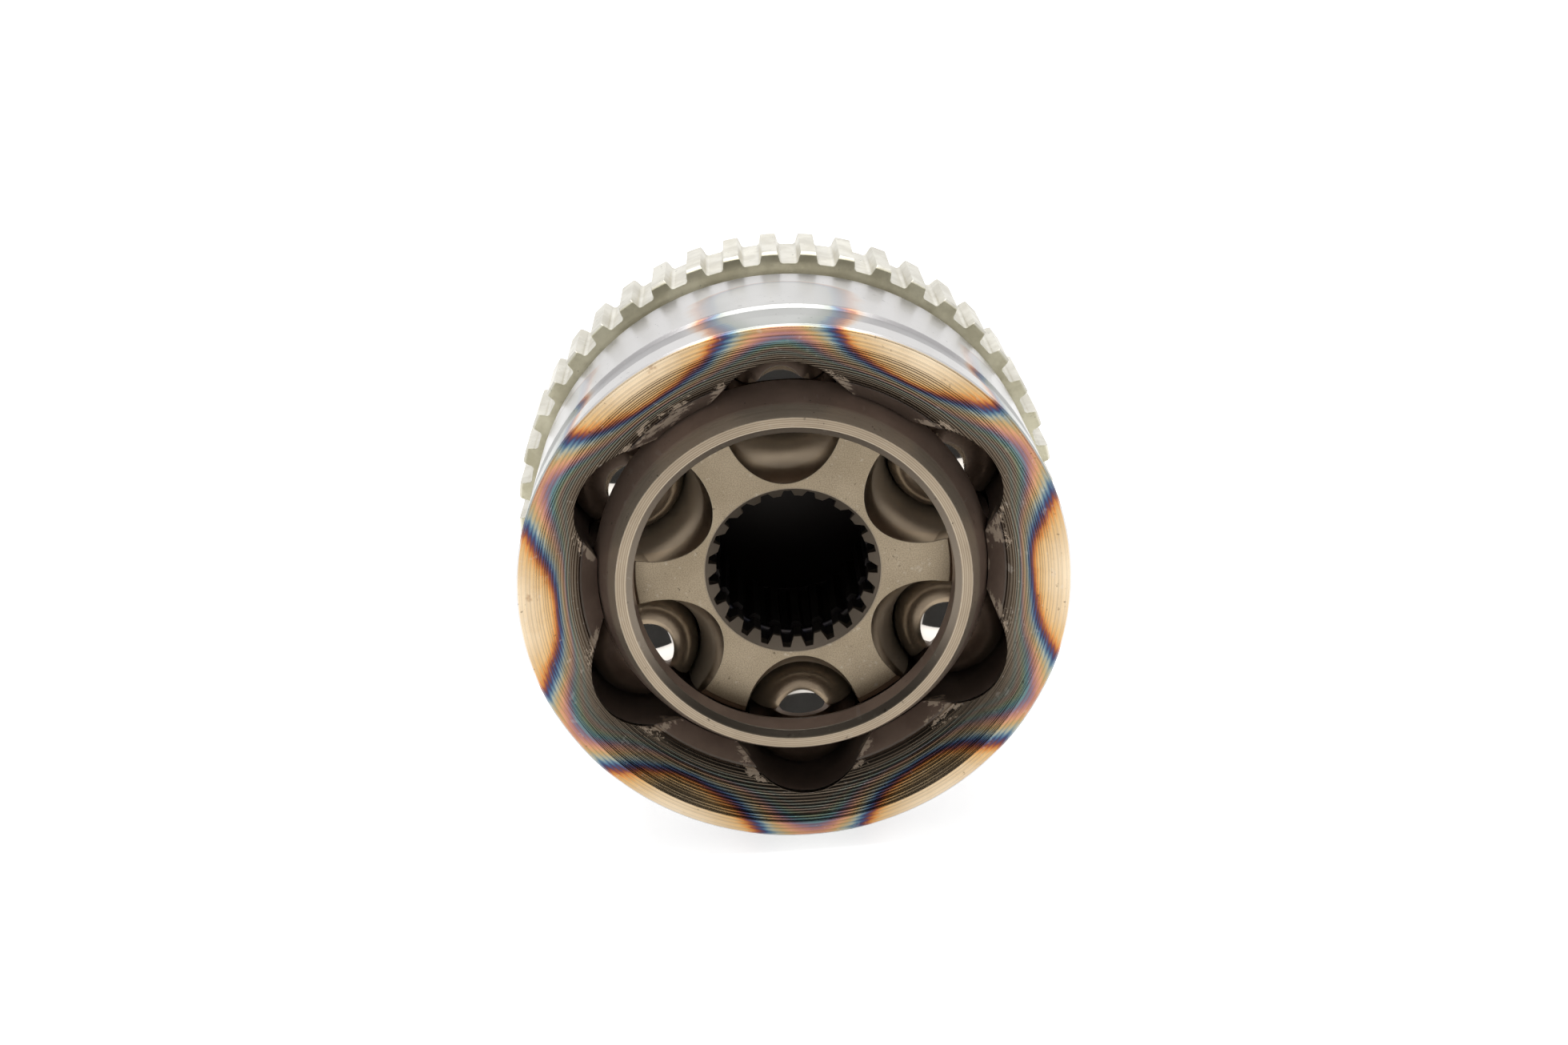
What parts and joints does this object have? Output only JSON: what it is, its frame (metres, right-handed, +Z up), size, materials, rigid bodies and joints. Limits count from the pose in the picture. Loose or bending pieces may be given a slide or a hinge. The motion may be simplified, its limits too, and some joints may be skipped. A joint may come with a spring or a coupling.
{
  "type": "cv joint",
  "caption": "Fixed ball-type constant-velocity joint: turned steel bell with stub shaft, toothed sensor ring, ball cage and splined inner race.",
  "frame": {"origin": "joint centre, where the driveshaft's axis meets the stub shaft's axis", "axes": "+Y along the stub shaft away from the bell, so the bell's mouth faces -Y; +Z up through one ball; +X the axis of the modelled bend"},
  "size_m": [0.0864, 0.1168, 0.0864],
  "materials": {
    "race_steel": "turned",
    "plated_ring": "zinc plated",
    "cage_steel": "satin",
    "hub_steel": "satin",
    "spring_steel": "satin",
    "ball_steel": "polished"
  },
  "bodies": {
    "bell": {"outer_race": "race_steel", "abs_ring": "plated_ring"},
    "inner_race": {"inner_race": "hub_steel", "shaft_circlip": "spring_steel"},
    "cage": {"cage": "cage_steel"},
    "ball_1": {"ball_1": "ball_steel"},
    "ball_2": {"ball_2": "ball_steel"},
    "ball_3": {"ball_3": "ball_steel"},
    "ball_4": {"ball_4": "ball_steel"},
    "ball_5": {"ball_5": "ball_steel"},
    "ball_6": {"ball_6": "ball_steel"}
  },
  "joints": [
    {"name": "driveshaft_bend", "type": "hinge", "parent": "bell", "child": "inner_race", "pos_m": [0, 0, 0], "axis": [1, 0, 0], "range_deg": [-45, 45]},
    {"name": "cage_bend", "type": "hinge", "parent": "bell", "child": "cage", "pos_m": [0, 0, 0], "axis": [1, 0, 0], "range_deg": [-22.5, 22.5]},
    {"name": "ball_1_roll", "type": "hinge", "parent": "bell", "child": "ball_1", "pos_m": [0, -0.0028, 0], "axis": [1, 0, 0], "range_deg": [-22.6, 22.6]},
    {"name": "ball_2_roll", "type": "hinge", "parent": "bell", "child": "ball_2", "pos_m": [0, -0.0028, 0], "axis": [0.5, 0, -0.866], "range_deg": [-11.8, 11.8]},
    {"name": "ball_3_roll", "type": "hinge", "parent": "bell", "child": "ball_3", "pos_m": [0, -0.0028, 0], "axis": [-0.5, 0, -0.866], "range_deg": [-11.8, 11.8]},
    {"name": "ball_4_roll", "type": "hinge", "parent": "bell", "child": "ball_4", "pos_m": [0, -0.0028, 0], "axis": [-1, 0, 0], "range_deg": [-22.6, 22.6]},
    {"name": "ball_5_roll", "type": "hinge", "parent": "bell", "child": "ball_5", "pos_m": [0, -0.0028, 0], "axis": [-0.5, 0, 0.866], "range_deg": [-11.8, 11.8]},
    {"name": "ball_6_roll", "type": "hinge", "parent": "bell", "child": "ball_6", "pos_m": [0, -0.0028, 0], "axis": [0.5, 0, 0.866], "range_deg": [-11.8, 11.8]}
  ],
  "couplings": [
    {"joint": "cage_bend", "follows": "driveshaft_bend", "ratio": 0.5},
    {"joint": "ball_1_roll", "follows": "driveshaft_bend", "ratio": 0.5},
    {"joint": "ball_2_roll", "follows": "driveshaft_bend", "ratio": 0.2587},
    {"joint": "ball_3_roll", "follows": "driveshaft_bend", "ratio": -0.2587},
    {"joint": "ball_4_roll", "follows": "driveshaft_bend", "ratio": -0.5},
    {"joint": "ball_5_roll", "follows": "driveshaft_bend", "ratio": -0.2587},
    {"joint": "ball_6_roll", "follows": "driveshaft_bend", "ratio": 0.2587}
  ]
}
